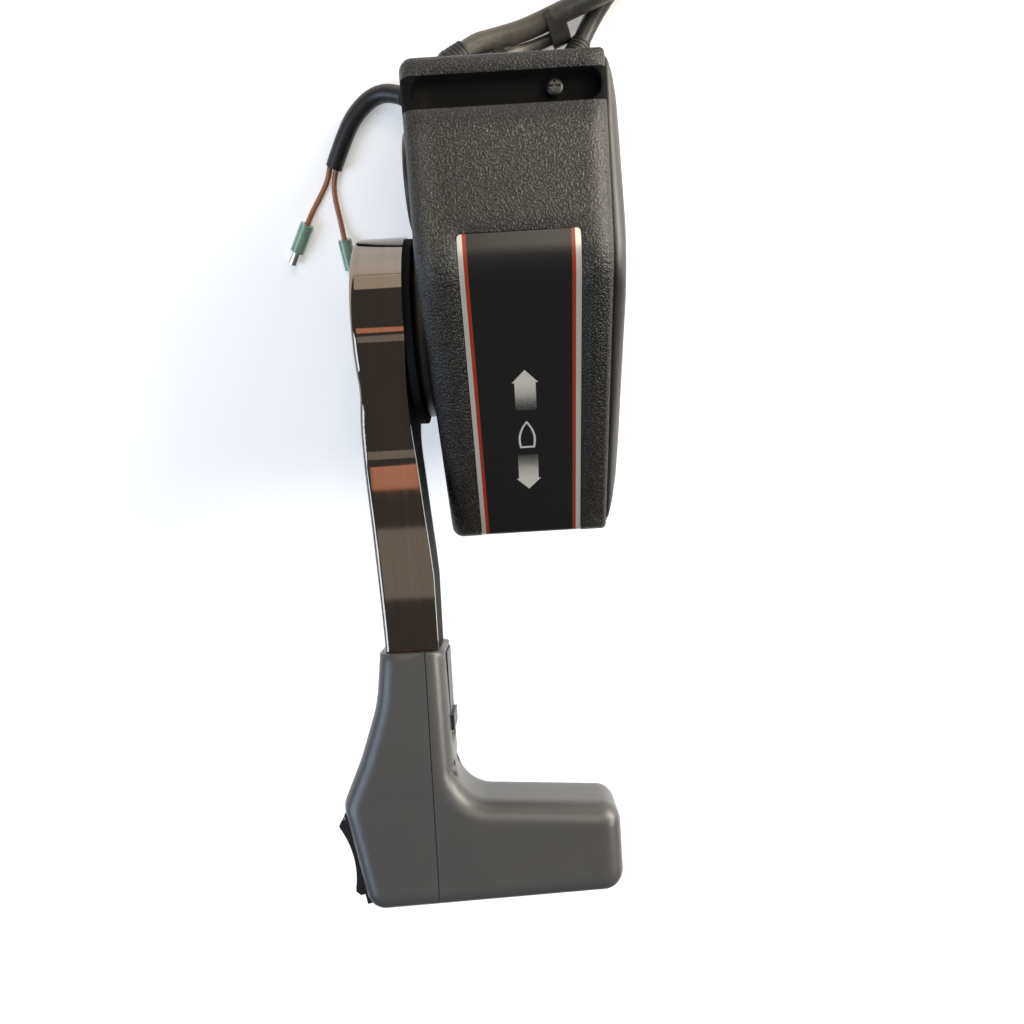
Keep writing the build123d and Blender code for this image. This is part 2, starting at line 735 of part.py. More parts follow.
def lock_slide():
    bar = Pos(0, lock_y + lock_thickness / 2, lock_start_u + lock_length / 2) * Box(
        2 * lock_half, lock_thickness, lock_length)
    lip = Pos(0, lock_y + 0.8, lock_start_u + lock_length - 3) * Box(2 * lock_half, 4.0, 6)
    return bar + lip


def lock_pocket():
    length = lock_length + lock_travel + 1.0
    low = lock_start_u - 0.3
    return Pos(0, lock_y + lock_thickness + 0.3 - 15, low + length / 2) * Box(
        2 * lock_half + 0.6, 30, length)


parts["lock_release"] = in_lever(lock_slide())


def grip_halves():
    solid = whole_grip()
    tang = Pos(0, plate_end + core_height / 2, lever_end_u + (tang_length + 2) / 2) * Box(
        2 * tang_half + 2 * grip_fit, 12.2 + 2 * grip_fit, tang_length + 2 + 2 * grip_fit)
    solid -= tang
    solid -= switch_box(bezel_half_length + grip_fit, bezel_half_width + grip_fit,
                        -switch_depth - grip_fit, 6.0)
    solid -= lock_pocket()
    port = solid & Pos(0, grip_split_y + 0.15 + 100, 180) * Box(100, 200, 200)
    starboard = solid & Pos(0, grip_split_y - 0.15 - 100, 180) * Box(100, 200, 200)
    return port, starboard


def grip_screw(w):
    """A pan-head screw from the starboard half into the port half, beside the tang's end."""
    seat = Plane(origin=(w, grip_screw_seat_y, grip_screw_u), x_dir=(1, 0, 0), z_dir=(0, -1, 0))
    recess = seat * Cylinder(grip_screw_head + 0.4, 20, align=(Align.CENTER, Align.CENTER, Align.MIN))
    hole = seat * Cylinder(grip_screw_radius, grip_screw_length + 0.5,
                           align=(Align.CENTER, Align.CENTER, Align.MAX))
    screw = seat * pan_screw(grip_screw_head, 2.0, grip_screw_radius, grip_screw_length)
    return screw, recess + hole


port_half, starboard_half = grip_halves()
grip_screws = []
for w in (-grip_screw_w, grip_screw_w):
    screw, room = grip_screw(w)
    grip_screws.append(in_lever(screw))
    port_half -= room
    starboard_half -= room
parts["grip_screws"] = Compound(children=grip_screws)
parts["grip_port_half"] = in_lever(port_half)
parts["grip_starboard_half"] = in_lever(starboard_half)


# ---------------------------------------------------------------- switchgear on the chassis
switch_top_z = -12.5


def neutral_switch():
    body = Pos(0, plate_y + 4.5, switch_top_z - 5) * Box(20, 9, 10)
    for x in (-6, 6):
        body -= pin(1.2, plate_y - 1, plate_y + 10, x, switch_top_z - 7)
    plunger = Pos(0, plate_y + 5.5, switch_top_z + 1.2) * Cylinder(1.4, 2.6)
    for x in (-6, 0, 6):
        body += Pos(x, plate_y + 5, switch_top_z - 12) * Box(2.8, 0.8, 5)
    return body + plunger


parts["neutral_switch"] = neutral_switch()

detent_post_x = -26.0
roller_radius = 3.0
roller_z = shaft_radius + 3.5 + roller_radius + 0.1
leaf_thickness = 0.7
parts["detent_roller"] = pin(roller_radius, plate_y + 3.5, plate_y + 9.5, 0, roller_z)
leaf_z = roller_z + roller_radius + 0.1
parts["detent_post"] = pin(3.0, plate_y, plate_y + 10, detent_post_x, leaf_z - 3.0)


def detent_spring():
    """A flat leaf from its post to the roller, hooked over the roller's far side."""
    leaf = Pos((detent_post_x + 4) / 2, leaf_z + leaf_thickness / 2) * Rectangle(
        abs(detent_post_x) + 8, leaf_thickness)
    hook = Pos(4 + leaf_thickness / 2, leaf_z - 1.2) * Rectangle(leaf_thickness, 3.8)
    return side_prism(leaf + hook, plate_y + 3.5, plate_y + 9.5)


parts["detent_spring"] = detent_spring()


def warning_buzzer():
    back_y = buzzer_seat_y - buzzer_depth
    body = pin(buzzer_radius, back_y, buzzer_seat_y, buzzer_x, buzzer_z)
    body = fillet(body.faces().sort_by(Axis.Y)[0].edges(), 1.0)
    return body - pin(2.0, back_y - 1, back_y + 3, buzzer_x, buzzer_z)


parts["warning_buzzer"] = warning_buzzer()


# ---------------------------------------------------------------- cables
harness_diameter = 8.0
dark_diameter = 7.0
branch_diameter = 4.5
tube_diameter = 7.0
wire_diameter = 2.3
floor_z = bottom_z
gland_wall = 1.6

harness_z = floor_z + harness_diameter / 2
harness_points = [
    (92.6, 57.5, -47.0), (98.5, 49.5, -50.5), (100.2, 40.0, -53.3), (102.3, 29.0, harness_z),
    (106.2, 17.6, harness_z), (110.6, 5.5, -50.0), (114.0, -4.0, -45.0), (118.5, -13.5, -44.9),
    (123.5, -22.5, -50.0), (127.8, -30.5, -53.8), (131.0, -38.5, harness_z)]
dark_z = floor_z + dark_diameter / 2
dark_points = [
    (92.5, 8.6, -50.0), (101.0, 3.8, -53.4), (109.6, -2.1, dark_z), (117.0, -8.5, dark_z),
    (125.5, -12.8, dark_z), (133.0, -11.8, dark_z), (138.2, -6.2, dark_z), (141.8, 1.8, dark_z)]
branch_z = floor_z + branch_diameter / 2
branch_points = [
    (93.0, 40.0, -47.0), (95.0, 34.6, -51.0), (96.0, 28.5, -54.6), (97.6, 21.6, branch_z),
    (101.0, 11.8, branch_z)]
tube_z = floor_z + tube_diameter / 2
tube_points = [(x, port_y + out, z) for x, out, z in (
    (80.5, 1.5, -47.0), (83.8, 9.5, -50.6), (83.6, 18.9, -54.2), (76.8, 28.2, tube_z),
    (67.5, 34.6, tube_z), (57.0, 40.2, tube_z))]
wire_z = floor_z + wire_diameter / 2
wire_end_z = floor_z + 3.0
wire_a_points = [(x, port_y + out, z) for x, out, z in (
    (56.1, 39.5, -55.8), (51.5, 41.7, wire_z), (44.5, 42.3, wire_z), (35.5, 41.4, -56.6),
    (27.4, 40.6, -55.2), (22.9, 40.2, wire_end_z))]
wire_b_points = [(x, port_y + out, z) for x, out, z in (
    (57.4, 42.1, -55.8), (52.8, 43.6, wire_z), (46.2, 47.9, wire_z), (40.2, 52.6, -56.6),
    (34.7, 55.9, -55.2), (30.8, 58.2, wire_end_z))]


def corner_radii(name, points):
    """The largest arc that each corner's two runs allow, printed with the cord's name."""
    radii = []
    for before, at, after in zip(points, points[1:], points[2:]):
        run_in = Vector(*at) - Vector(*before)
        run_out = Vector(*after) - Vector(*at)
        turn = math.radians(run_in.get_angle(run_out))
        radii.append(0.45 * min(run_in.length, run_out.length) / math.tan(turn / 2))
    print(name, "radii", [round(r, 1) for r in radii])
    return radii


def cord(name, points, diameter):
    """A round cord along straight runs joined by arcs."""
    path = FilletPolyline(*points, radius=corner_radii(name, points))
    start = Plane(origin=path @ 0, z_dir=path % 0)
    solid = sweep(start * Circle(diameter / 2), path=path)
    print(name, "length", round(path.length, 1), "volume ratio",
          round(solid.volume / (path.length * math.pi * diameter ** 2 / 4), 4))
    return solid


def gland(points, diameter, inside):
    """A rubber collar in line with its cord, its hole in the case wall and the room behind it."""
    ahead = (Vector(*points[1]) - Vector(*points[0])).normalized()
    plane = Plane(origin=points[0], z_dir=ahead)
    radius = diameter / 2 + gland_wall
    inwards = (Align.CENTER, Align.CENTER, Align.MAX)
    sleeve = plane * Cylinder(radius, inside, align=inwards)
    hole = plane * Pos(0, 0, 8) * Cylinder(radius, inside + 9, align=inwards)
    room = plane * Cylinder(radius + 0.5, inside + 2, align=inwards)
    return sleeve, hole, room


glands = {
    "harness_gland": (harness_points, harness_diameter, 7.0),
    "dark_cable_gland": (dark_points, dark_diameter, 6.0),
    "branch_gland": (branch_points, branch_diameter, 7.0),
    "lead_gland": (tube_points, tube_diameter, 6.0)}
for name, (points, diameter, inside) in glands.items():
    sleeve, hole, room = gland(points, diameter, inside)
    parts["case_shell"] -= hole
    parts["wall_cover"] -= room
    parts[name] = sleeve

parts["harness_cable"] = cord("harness_cable", harness_points, harness_diameter)
parts["dark_cable"] = cord("dark_cable", dark_points, dark_diameter)
parts["branch_lead"] = cord("branch_lead", branch_points, branch_diameter)
parts["lead_tube"] = cord("lead_tube", tube_points, tube_diameter)
parts["lead_wire_a"] = cord("lead_wire_a", wire_a_points, wire_diameter)
parts["lead_wire_b"] = cord("lead_wire_b", wire_b_points, wire_diameter)

coil_x, coil_y = 177.0, -44.0
coil_radius = 41.0
coil_band = 2 * harness_diameter + 0.6


def harness_coil():
    """The put-away turns of the harness, as one ring."""
    section = Plane.XZ * Pos(coil_radius, coil_band / 2) * RectangleRounded(
        coil_band, coil_band, harness_diameter / 2 - 0.1)
    return Pos(coil_x, coil_y, floor_z) * revolve(section, Axis.Z)


parts["harness_coil"] = harness_coil()
plug_length = 26.0


def connector(origin, ahead, length, width, height):
    """A moulded multi-pin plug, its cord's end at the origin."""
    plane = Plane(origin=origin, x_dir=ahead, z_dir=(0, 0, 1))
    body = plane * Pos(length / 2, 0, 0) * Box(length, width, height)
    upright = [e for e in body.edges() if abs(e.center().Z - origin[2]) < 0.01]
    body = fillet(upright, 2.0)
    socket = plane * Pos(length - 4, 0, 0) * Box(9, width - 4, height - 4)
    return body - socket


coil_top = floor_z + coil_band
plug_height_z = coil_top + 7.0
parts["harness_plug"] = connector((coil_x + 4, coil_y + coil_radius, plug_height_z),
                                  (-1, 0, 0), plug_length, 20.0, 14.0)
dark_ahead = Vector(*dark_points[-1]) - Vector(*dark_points[-2])
parts["dark_cable_plug"] = connector((dark_points[-1][0], dark_points[-1][1], floor_z + 5.0),
                                     (dark_ahead.X, dark_ahead.Y, 0), 20.0, 14.0, 10.0)


def tape_wrap():
    """Tape that binds the branch lead to the side of the harness."""
    start, end = Vector(*harness_points[3]), Vector(*harness_points[4])
    ahead = (end - start).normalized()
    centre = (Vector(branch_points[-1][0], branch_points[-1][1], 0)
              + Vector(end.X + ahead.X * 3, end.Y + ahead.Y * 3, 0)) * 0.5 - ahead * 1.8
    plane = Plane(origin=(centre.X, centre.Y, floor_z + 4.3), x_dir=(-ahead.Y, ahead.X, 0),
                  z_dir=(ahead.X, ahead.Y, 0))
    wrap = extrude(plane * RectangleRounded(14.6, 8.6, 3.9), amount=3.6, both=True)
    return wrap - parts["harness_cable"] - parts["branch_lead"]


parts["tape_wrap"] = tape_wrap()


def along(points, diameter, length, start=0.0):
    """A round bar that carries on straight and level from a cord's end."""
    end = Vector(*points[-1])
    ahead = end - Vector(*points[-2])
    ahead = Vector(ahead.X, ahead.Y, 0).normalized()
    base = Vector(end.X, end.Y, wire_end_z) + ahead * start
    return Plane(origin=base, z_dir=ahead) * Cylinder(
        diameter / 2, length, align=(Align.CENTER, Align.CENTER, Align.MIN))


def wire_end(points):
    """A soft sleeve over a bullet terminal; the wire runs a little way into it."""
    sleeve = along(points, 6.0, 13.0, -4.5)
    bullet = along(points, 4.0, 6.0, 8.5) + along(points, 3.0, 1.0, 8.0)
    return sleeve, bullet - sleeve


sleeve_a, bullet_a = wire_end(wire_a_points)
sleeve_b, bullet_b = wire_end(wire_b_points)
parts["lead_sleeves"] = Compound(children=[sleeve_a, sleeve_b])
parts["lead_bullets"] = Compound(children=[bullet_a, bullet_b])

os.makedirs("parts", exist_ok=True)
for name, shape in parts.items():
    export_step(shape, "parts/" + name + ".step")
    print(name, round(shape.volume, 1), shape.is_valid)
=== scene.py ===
import math

import bpy
import numpy as np
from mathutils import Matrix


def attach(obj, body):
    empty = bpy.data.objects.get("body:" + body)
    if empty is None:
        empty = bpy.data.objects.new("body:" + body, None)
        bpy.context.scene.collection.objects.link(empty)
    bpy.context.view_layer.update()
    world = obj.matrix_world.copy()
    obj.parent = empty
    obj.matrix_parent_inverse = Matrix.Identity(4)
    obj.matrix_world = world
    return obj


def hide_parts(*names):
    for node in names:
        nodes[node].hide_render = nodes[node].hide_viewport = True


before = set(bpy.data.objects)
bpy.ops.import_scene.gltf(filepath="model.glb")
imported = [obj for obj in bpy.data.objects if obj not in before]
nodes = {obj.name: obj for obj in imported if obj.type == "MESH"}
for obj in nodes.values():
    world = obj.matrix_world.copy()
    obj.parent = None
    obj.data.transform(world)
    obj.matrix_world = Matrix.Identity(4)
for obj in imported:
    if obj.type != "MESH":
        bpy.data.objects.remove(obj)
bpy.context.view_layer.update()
scene = bpy.context.scene
MM = 0.001

# ---------------------------------------------------------------- camera
# It stands above the bow end of the box and looks down and aft, a hand's breadth from
# the lever's plane, with a slight roll. The lens is a phone's short wide one.
camera_place = (96.1 * MM, 44.1 * MM, 304.9 * MM)
camera_tilt = math.radians(30.9)
camera_roll = math.radians(3.4)
focal_share = 770 / 1024            # focal length over the frame's width
sensor_width = 36.0

behind = np.array([math.sin(camera_tilt), 0, math.cos(camera_tilt)])
aft_up = np.array([-math.cos(camera_tilt), 0, math.sin(camera_tilt)])
port = np.array([0, 1.0, 0])
right = -math.cos(camera_roll) * port + math.sin(camera_roll) * aft_up
down = math.sin(camera_roll) * port + math.cos(camera_roll) * aft_up
camera_data = bpy.data.cameras.new("camera")
camera_data.sensor_width = sensor_width
camera_data.lens = sensor_width * focal_share
camera_data.clip_start = 0.01
camera = bpy.data.objects.new("camera", camera_data)
turn = np.eye(4)
turn[:3, 0], turn[:3, 1], turn[:3, 2], turn[:3, 3] = right, -down, behind, camera_place
camera.matrix_world = turn.T.tolist()
scene.collection.objects.link(camera)
scene.camera = camera


# ---------------------------------------------------------------- harness and other cables
# Vinyl-sheathed leads that leave the box at its front and port sides and lie on the bench.
# The harness carries on past the edge of the view into a flat coil, and ends in its plug.
class Value:
    """A number socket, or a plain number, that adds Math nodes as it is calculated with."""

    def __init__(self, finish, socket):
        self.finish, self.socket = finish, socket

    def math(self, operation, *others):
        numbers = [self] + list(others)
        sockets = {i: n for i, n in enumerate(numbers)}
        return self.finish.node("ShaderNodeMath", {"operation": operation}, sockets)

    def __add__(self, other): return self.math("ADD", other)
    def __radd__(self, other): return self.math("ADD", other)
    def __sub__(self, other): return self.math("SUBTRACT", other)
    def __rsub__(self, other): return (self * -1.0).math("ADD", other)
    def __mul__(self, other): return self.math("MULTIPLY", other)
    def __rmul__(self, other): return self.math("MULTIPLY", other)
    def __truediv__(self, other): return self.math("DIVIDE", other)
    def __abs__(self): return self.math("ABSOLUTE")
    def above(self, limit): return self.math("GREATER_THAN", limit)
    def below(self, limit): return self.math("LESS_THAN", limit)
    def least(self, other): return self.math("MINIMUM", other)
    def most(self, other): return self.math("MAXIMUM", other)


class Finish:
    """One material; shader is its Principled node. Numbers that vary over the surface are
    sums on Value, and every other node comes from node()."""

    def __init__(self, name, colour, roughness, metallic=0.0, **fixed):
        self.material = bpy.data.materials.new(name)
        self.material.use_nodes = True
        self.tree = self.material.node_tree
        self.shader = self.tree.nodes["Principled BSDF"]
        self.set("Base Color", colour)
        self.set("Roughness", roughness)
        self.set("Metallic", metallic)
        for socket, number in fixed.items():
            self.set(socket.replace("_", " "), number)

    def set(self, name, number):
        """Puts a number, a colour or a Value on a socket of the shader."""
        self.plug(self.shader.inputs[name], number)

    def plug(self, socket, number):
        if isinstance(number, Value):
            self.tree.links.new(number.socket, socket)
        elif isinstance(number, (tuple, list)) and len(number) == 3 and socket.type == "RGBA":
            socket.default_value = (*number, 1.0)
        else:
            socket.default_value = number

    def node(self, kind, settings, sockets, out=0):
        """A node of that type: its settings first, then the numbers or links of its sockets."""
        made = self.tree.nodes.new(kind)
        for key, setting in settings.items():
            setattr(made, key, setting)
        for key, number in sockets.items():
            self.plug(made.inputs[key], number)
        return Value(self, made.outputs[out])

    def place(self):
        """Object coordinates, the row frame in metres."""
        return self.node("ShaderNodeTexCoord", {}, {}, out="Object")

    def axes(self):
        """X, Y and Z of the surface point, in metres."""
        split = self.tree.nodes.new("ShaderNodeSeparateXYZ")
        self.plug(split.inputs[0], self.place())
        return [Value(self, split.outputs[i]) for i in range(3)]

    def noise(self, size, detail=2.0, place=None):
        """Noise whose lumps are about size metres across."""
        return self.node("ShaderNodeTexNoise", {}, {
            "Vector": place or self.place(), "Scale": 1.0 / size, "Detail": detail}, out="Fac")

    def mix(self, share, low, high):
        """The colour low where share is 0, and high where it is 1. 6 and 7 are the colour
        sockets of the Mix node, and 2 its colour output."""
        return self.node("ShaderNodeMix", {"data_type": "RGBA"}, {
            "Factor": share, 6: low, 7: high}, out=2)

    def bump(self, height, depth, rounding=0.0):
        """Relief of that depth in metres, from a height of 0 to 1. Edges look rounded by
        that many metres."""
        sockets = {"Height": height, "Distance": depth}
        if rounding:
            sockets["Normal"] = self.node("ShaderNodeBevel", {"samples": 8}, {
                "Radius": rounding}, out="Normal")
        self.set("Normal", self.node("ShaderNodeBump", {}, sockets, out="Normal"))


def coat(piece, finish):
    """Gives a piece its finish as its only material."""
    piece.data.materials.clear()
    piece.data.materials.append(finish.material)


floor_z = -58.0                     # the bench under the box, in millimetres
vinyl_grey = Finish("vinyl_grey", (0.085, 0.08, 0.072), 0.45)
dust = vinyl_grey.noise(0.004, 4.0)
vinyl_grey.set("Base Color", vinyl_grey.mix(dust, (0.028, 0.025, 0.020), (0.100, 0.090, 0.072)))
vinyl_grey.set("Roughness", 0.34 + dust * 0.2)
vinyl_grey.bump(vinyl_grey.noise(0.0012, 3.0), 0.00006)

vinyl_black = Finish("vinyl_black", (0.018, 0.017, 0.016), 0.4)
scuff = vinyl_black.noise(0.005, 5.0)
vinyl_black.set("Base Color", vinyl_black.mix(
    scuff, (0.006, 0.006, 0.006), (0.020, 0.018, 0.016)))
vinyl_black.set("Roughness", 0.3 + scuff * 0.25)
vinyl_black.bump(vinyl_black.noise(0.0015, 3.0), 0.00005)

wire_brown = Finish("wire_brown", (0.30, 0.13, 0.06), 0.4)
tone = wire_brown.noise(0.003, 3.0)
wire_brown.set("Base Color", wire_brown.mix(tone, (0.24, 0.10, 0.05), (0.42, 0.2, 0.1)))
wire_brown.bump(wire_brown.noise(0.0008, 2.0), 0.00003)


def cable(name, points, diameter, finish, stands_for):
    """A round cord on one smooth curve whose control points are given in millimetres."""
    data = bpy.data.curves.new(name, "CURVE")
    data.dimensions = "3D"
    data.bevel_depth = diameter / 2 * MM
    data.bevel_resolution = 6
    data.use_fill_caps = True
    data.resolution_u = 12
    line = data.splines.new("NURBS")
    line.points.add(len(points) - 1)
    for point, (x, y, z) in zip(line.points, points):
        point.co = (x * MM, y * MM, z * MM, 1.0)
    line.order_u = 3
    line.use_endpoint_u = True
    piece = bpy.data.objects.new(name, data)
    scene.collection.objects.link(piece)
    coat(piece, finish)
    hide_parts(*stands_for)
    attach(piece, "root")
    return piece


harness_diameter = 8.0
harness_z = floor_z + harness_diameter / 2
harness_points = [
    (92.6, 57.5, -47.0), (98.5, 49.5, -50.5), (100.2, 40.0, -53.3), (102.3, 29.0, harness_z),
    (106.2, 17.6, harness_z), (110.6, 5.5, -50.0), (114.0, -4.0, -45.0), (118.5, -13.5, -44.9),
    (123.5, -22.5, -50.0), (127.8, -30.5, -53.8), (131.0, -38.5, harness_z)]
coil_x, coil_y = 177.0, -44.0
outer_turn, inner_turn = 45.1, 36.9
upper_layer = harness_diameter + 0.2
turn_radii = [outer_turn, inner_turn, inner_turn, outer_turn]
turn_heights = [0.0, 0.0, upper_layer, upper_layer]
steps_per_turn = 16
last_steps = 10                     # the last turn is left for the plug
coil_steps = steps_per_turn * 3 + last_steps
plug_half_height = 7.0
plug_height = floor_z + 2 * harness_diameter + 0.6 + plug_half_height
for i in range(1, coil_steps):
    turns = i / steps_per_turn
    whole = int(turns)
    ease = min((turns - whole) * 3, 1.0)
    before = max(whole - 1, 0) if whole else 0
    radius = turn_radii[before] + (turn_radii[whole] - turn_radii[before]) * ease
    height = turn_heights[before] + (turn_heights[whole] - turn_heights[before]) * ease
    angle = math.pi + 2 * math.pi * turns
    harness_points.append((coil_x + radius * math.cos(angle), coil_y + radius * math.sin(angle),
                           harness_z + height))
harness_points += [(coil_x + 22.0, coil_y + 41.0, plug_height - 2.0),
                   (coil_x + 13.0, coil_y + 43.5, plug_height),
                   (coil_x + 4.0, coil_y + 44.0, plug_height)]
harness = cable("harness", harness_points, harness_diameter, vinyl_grey,
                ["harness_cable", "harness_coil"])

dark_diameter = 7.0
dark_z = floor_z + dark_diameter / 2
dark_points = [
    (92.5, 8.6, -50.0), (101.0, 3.8, -53.4), (109.6, -2.1, dark_z), (117.0, -8.5, dark_z),
    (125.5, -12.8, dark_z), (133.0, -11.8, dark_z), (138.2, -6.2, dark_z), (141.8, 1.8, dark_z)]
dark_lead = cable("dark_lead", dark_points, dark_diameter, vinyl_black,
                  ["dark_cable"])

branch_diameter = 4.5
branch_z = floor_z + branch_diameter / 2
branch_points = [
    (93.0, 40.0, -47.0), (95.0, 34.6, -51.0), (96.0, 28.5, -54.6), (97.6, 21.6, branch_z),
    (101.0, 11.8, branch_z)]
branch = cable("branch", branch_points, branch_diameter, vinyl_grey,
               ["branch_lead"])

tube_diameter = 7.0
tube_z = floor_z + tube_diameter / 2
tube_points = [
    (80.5, 72.5, -47.0), (83.8, 80.5, -50.6), (83.6, 89.9, -54.2), (76.8, 99.2, tube_z),
    (67.5, 105.6, tube_z), (57.0, 111.2, tube_z)]
sheath = cable("sheath", tube_points, tube_diameter, vinyl_black, ["lead_tube"])

wire_diameter = 2.3
wire_z = floor_z + wire_diameter / 2
wire_end_z = floor_z + 3.0
wire_a_points = [
    (56.1, 110.5, -55.8), (51.5, 112.7, wire_z), (44.5, 113.3, wire_z), (35.5, 112.4, -56.6),
    (27.4, 111.6, -55.2), (22.9, 111.2, wire_end_z)]
wire_b_points = [
    (57.4, 113.1, -55.8), (52.8, 114.6, wire_z), (46.2, 118.9, wire_z), (40.2, 123.6, -56.6),
    (34.7, 126.9, -55.2), (30.8, 129.2, wire_end_z)]
wire_a = cable("wire_a", wire_a_points, wire_diameter, wire_brown,
               ["lead_wire_a"])
wire_b = cable("wire_b", wire_b_points, wire_diameter, wire_brown,
               ["lead_wire_b"])

[v * MM for v in harness_points[0]]

# ---------------------------------------------------------------- plugs, sleeves and glands
# Moulded rubber: the plugs on the far ends and the tapered strain reliefs that the cables
# leave the box through. The two thin wires end in green vinyl sleeves over bright terminals.
rubber_black = Finish("rubber_black", (0.010, 0.010, 0.010), 0.6)
rubber_black.bump(rubber_black.noise(0.0006, 2.0), 0.00003)
for name in ("harness_plug", "dark_cable_plug", "harness_gland", "dark_cable_gland",
             "branch_gland", "lead_gland"):
    coat(nodes[name], rubber_black)
coat(nodes["tape_wrap"], vinyl_black)

sleeve_green = Finish("sleeve_green", (0.20, 0.36, 0.24), 0.3, Coat_Weight=0.5)
cloud = sleeve_green.noise(0.003, 3.0)
sleeve_green.set("Base Color", sleeve_green.mix(cloud, (0.09, 0.19, 0.12), (0.32, 0.44, 0.33)))
coat(nodes["lead_sleeves"], sleeve_green)
tinned_brass = Finish("tinned_brass", (0.72, 0.70, 0.64), 0.25, metallic=1.0)
tinned_brass.set("Roughness", 0.2 + tinned_brass.noise(0.002, 2.0) * 0.2)
coat(nodes["lead_bullets"], tinned_brass)


def mesh_piece(name, corners, faces, finish, body):
    """A flat-shaded piece from an array of corner places in millimetres and a list of faces."""
    data = bpy.data.meshes.new(name)
    data.from_pydata((np.asarray(corners) * MM).tolist(), [], faces)
    data.update()
    piece = bpy.data.objects.new(name, data)
    scene.collection.objects.link(piece)
    coat(piece, finish)
    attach(piece, body)


def turned(profile, start, ahead, count=48):
    """A solid of revolution: profile is (distance along, radius) pairs, and the axis starts
    at start and points ahead. Each corner is start + along * axis + radius * (cos a * side +
    sin a * up), with one point on the axis closing each end."""
    axis = np.array(ahead, float)
    axis /= np.linalg.norm(axis)
    side = np.cross(axis, (0.0, 0.0, 1.0) if abs(axis[2]) < 0.9 else (1.0, 0.0, 0.0))
    side /= np.linalg.norm(side)
    up = np.cross(axis, side)
    along, radius = np.array(profile, float).T
    angle = np.arange(count) * 2 * np.pi / count
    ring = np.cos(angle)[:, None] * side + np.sin(angle)[:, None] * up
    corners = (np.array(start, float) + along[:, None, None] * axis
               + radius[:, None, None] * ring[None]).reshape(-1, 3)
    rows, cols = len(profile), count
    i, j = np.meshgrid(np.arange(rows - 1), np.arange(cols), indexing="ij")
    k = (j + 1) % cols
    quads = np.stack([i * cols + j, i * cols + k, (i + 1) * cols + k, (i + 1) * cols + j], -1)
    ends = np.array([start + along[0] * axis, start + along[-1] * axis])
    first, last = rows * cols, rows * cols + 1
    caps = [(first, (m + 1) % cols, m) for m in range(cols)]
    caps += [(last, (rows - 1) * cols + m, (rows - 1) * cols + (m + 1) % cols)
             for m in range(cols)]
    return np.vstack([corners, ends]), quads.reshape(-1, 4).tolist() + caps


def strain_relief(name, points, diameter, length):
    """A ribbed rubber taper round a cord where it leaves the case. Its radius is the cord's
    plus a wall that thins evenly along it, less the depth of five grooves."""
    wall, taper, groove, inside = 1.9, 1.5, 0.28, 1.0
    start, ahead = np.array(points[0]), np.array(points[1]) - np.array(points[0])
    steps = np.linspace(0, 1, 40)
    grooved = np.sin(steps * 10 * np.pi) > 0.35
    radius = diameter / 2 + wall - taper * steps - groove * grooved
    corners, faces = turned(list(zip(steps * length - inside, radius)), start, ahead)
    mesh_piece(name, corners, faces, rubber_black, "root")


strain_relief("harness_relief", harness_points, harness_diameter, 8.5)
strain_relief("dark_lead_relief", dark_points, dark_diameter, 7.5)
strain_relief("branch_relief", branch_points, branch_diameter, 6.0)
strain_relief("sheath_relief", tube_points, tube_diameter, 7.5)

# ---------------------------------------------------------------- moulded case
# Black ABS housing, spark-eroded with a fine leather grain on every outside face. The screw
# ledge behind the front lip has no grain and is dull. Its near-black colour, and a metallic
# share that takes its gloss away, are painted shade from the lip above it. Metres here.
front_x, lip_z, bend_x, bend_z = 0.0957, 0.014, 0.0365, 0.0446
slope = math.atan2(bend_z - lip_z, front_x - bend_x)
ledge_start, ledge_end, ledge_low = 0.0057, 0.0164, 0.008
grain_size, grain_depth, edge_rounding = 0.0007, 0.00014, 0.010
textured_black = Finish("textured_black", (0.012, 0.011, 0.010), 0.5)
x, y, z = textured_black.axes()
along = (z - lip_z) * math.sin(slope) - (x - front_x) * math.cos(slope)
# The ledge mask carries painted shade: below, the ledge is coloured near black and made partly
# metallic to kill its gloss, standing for the shadow under the lip.
shaded_ledge = along.above(ledge_start) * along.below(ledge_end) * z.above(ledge_low)
grained = 1 - shaded_ledge
grain = ((textured_black.noise(grain_size, 1.0) - 0.38) * 4.0).most(0.0).least(1.0)
# Painted shade and light: the grain's hollows are coloured darker and its raised points
# lighter, following its height.
textured_black.set("Base Color", textured_black.mix(
    grained, (0.001, 0.001, 0.001), textured_black.mix(
        grain, (0.004, 0.0035, 0.003), (0.015, 0.0135, 0.011))))
textured_black.set("Roughness", 0.85 - grained * (0.50 + grain * 0.12))
# Painted shade: this metallic share takes the gloss off the shaded ledge.
textured_black.set("Metallic", shaded_ledge * 0.7)
textured_black.bump(grain * grained, grain_depth, rounding=edge_rounding)
coat(nodes["case_shell"], textured_black)

# ---------------------------------------------------------------- decorated panel
# Thin aluminium panel bonded in its recess: lacquered black, with a silver and a red stripe
# along each side and, between them, two fading arrows and a small boat. Metres here.
decal = Finish("decal", (0.012, 0.012, 0.013), 0.32)
x, y, z = decal.axes()
panel_y, red_edge, silver_edge = 0.0366, 0.0174, 0.0187
across = abs(y - panel_y)
silver = across.above(silver_edge)
red = across.above(red_edge) * across.below(silver_edge)


def arrow(tip_x, toward):
    """One where an arrow of that tip lies; its body turns to dots and fades away from the
    head. toward is 1 for an arrow that points to the bow."""
    head_length, head_half, body_half, body_length = 0.0051, 0.0049, 0.0039, 0.0112
    dot_spacing, overlap = 0.00075, 0.00001
    back = (tip_x - x) * toward
    head = across.below(back * (head_half / head_length)) * back.above(0.0)
    head = head * back.below(head_length)
    body = across.below(body_half) * back.above(head_length - overlap)
    left = (head_length + body_length - back) / body_length
    pitch = 2 * math.pi / dot_spacing
    dots = ((x + y) * pitch).math("SINE") * ((x - y) * pitch).math("SINE") * 0.5 + 0.5
    return head.most(body * dots.below(left * 0.92 + 0.08) * left.above(0.0))


